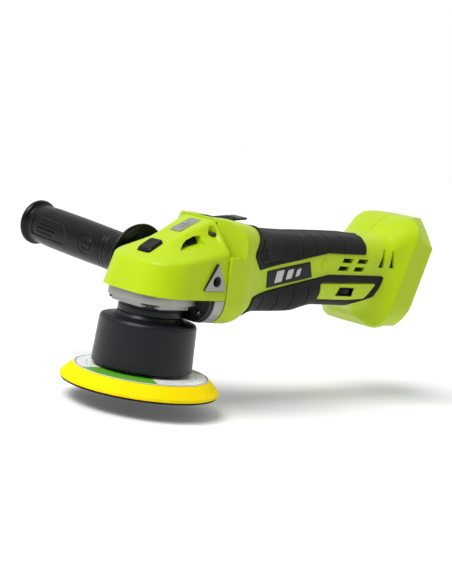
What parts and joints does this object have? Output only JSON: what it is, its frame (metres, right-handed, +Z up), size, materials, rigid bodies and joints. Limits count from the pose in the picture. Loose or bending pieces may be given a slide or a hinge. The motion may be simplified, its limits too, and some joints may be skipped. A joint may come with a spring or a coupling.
{
  "type": "rotary polisher",
  "caption": "Cordless car polisher with an angled gear head, orbital foam backing pad under a deep shroud, side handle, rubber-gripped body and battery foot.",
  "frame": {"origin": "spindle axis at the hook face of the backing pad", "axes": "+X along the body from the gear head to the battery foot, +Y towards the side handle, +Z up the spindle away from the pad"},
  "size_m": [0.3582, 0.2376, 0.147],
  "materials": {
    "lime": "satin lime green moulded nylon, fine texture",
    "rubber": "matt black moulded rubber with fine grain",
    "charcoal": "charcoal moulded nylon, fine satin texture",
    "black": "black moulded plastic, satin",
    "foam": "yellow moulded polyurethane foam, smooth skin",
    "hook": "black hook-and-loop layer",
    "cast": "die-cast aluminium, bead blasted",
    "steel": "machined steel",
    "dark": "blackened steel",
    "badge": "silver anodised nameplate with a plain embossed mark",
    "label": "printed film in white and green, no text",
    "copper": "steel laminations with copper windings",
    "board": "green circuit board",
    "brass": "plain"
  },
  "bodies": {
    "body": {"shroud": "charcoal", "neck_collar": "charcoal", "spindle_bearing_lower": "steel", "spindle_bearing_upper": "steel", "bearing_cover": "cast", "bearing_cover_screw_1": "dark", "bearing_cover_screw_2": "dark", "bearing_cover_screw_3": "dark", "bearing_cover_screw_4": "dark", "gear_case": "cast", "flange_plate": "dark", "flange_screw_1": "steel", "flange_screw_2": "steel", "head_cover": "lime", "badge_plate": "badge", "cover_screw_1": "dark", "cover_screw_2": "dark", "lock_spring": "steel", "rotor_bearing_front": "steel", "rotor_bearing_rear": "steel", "stator": "dark", "motor_end_cap": "black", "motor_housing_left": "lime", "motor_housing_right": "lime", "grip_upper_left": "rubber", "grip_lower_left": "rubber", "name_plate_left": "black", "grip_upper_right": "rubber", "grip_lower_right": "rubber", "name_plate_right": "black", "speed_panel": "lime", "power_switch": "black", "control_board": "board", "terminal_block": "black", "battery_contact_1": "brass", "battery_contact_2": "brass"},
    "pad": {"hook_face": "hook", "pad_foam": "foam", "pad_plate": "black", "pad_label": "label", "pad_stud": "steel", "pad_arbor": "steel"},
    "spindle": {"spindle": "steel", "ring_gear": "steel", "eccentric_hub": "cast", "counterweight": "steel", "pad_bearing": "steel"},
    "rotor": {"rotor_shaft": "steel", "pinion": "steel", "rotor_core": "copper", "fan": "black", "commutator": "brass"},
    "lock": {"lock_button": "black", "lock_pin": "steel"},
    "switch": {"slide_switch": "black", "switch_rod": "steel"},
    "dial": {"speed_dial": "black"},
    "side_handle": {"side_handle_grip": "black", "side_handle_stud": "steel"}
  },
  "joints": [
    {"name": "spindle_spin", "type": "hinge", "parent": "body", "child": "spindle", "pos_m": [0, 0, 0.06], "axis": [0, 0, 1], "continuous": true},
    {"name": "pad_spin", "type": "hinge", "parent": "spindle", "child": "pad", "pos_m": [-0.0024, -0.0032, 0.024], "axis": [0, 0, 1], "continuous": true},
    {"name": "rotor_spin", "type": "hinge", "parent": "body", "child": "rotor", "pos_m": [0.06, 0, 0.092], "axis": [1, 0, 0], "continuous": true},
    {"name": "lock_press", "type": "slide", "parent": "body", "child": "lock", "axis": [0, 0, -1], "range_m": [0, 0.003], "stiffness_N_per_m": 300, "springref_m": -0.004, "deforming": ["lock_spring"]},
    {"name": "switch_slide", "type": "slide", "parent": "body", "child": "switch", "axis": [-0.9942, 0, 0.108], "range_m": [0, 0.006]},
    {"name": "dial_turn", "type": "hinge", "parent": "body", "child": "dial", "pos_m": [0.189, -0.0194, 0.0818], "axis": [0, 0, 1], "range_deg": [-135, 135]},
    {"name": "handle_draw", "type": "slide", "parent": "body", "child": "side_handle", "axis": [-0.0199, 0.9974, 0.0698], "range_m": [0, 0.022]}
  ],
  "couplings": [
    {"joint": "rotor_spin", "follows": "spindle_spin", "ratio": 3.25}
  ]
}
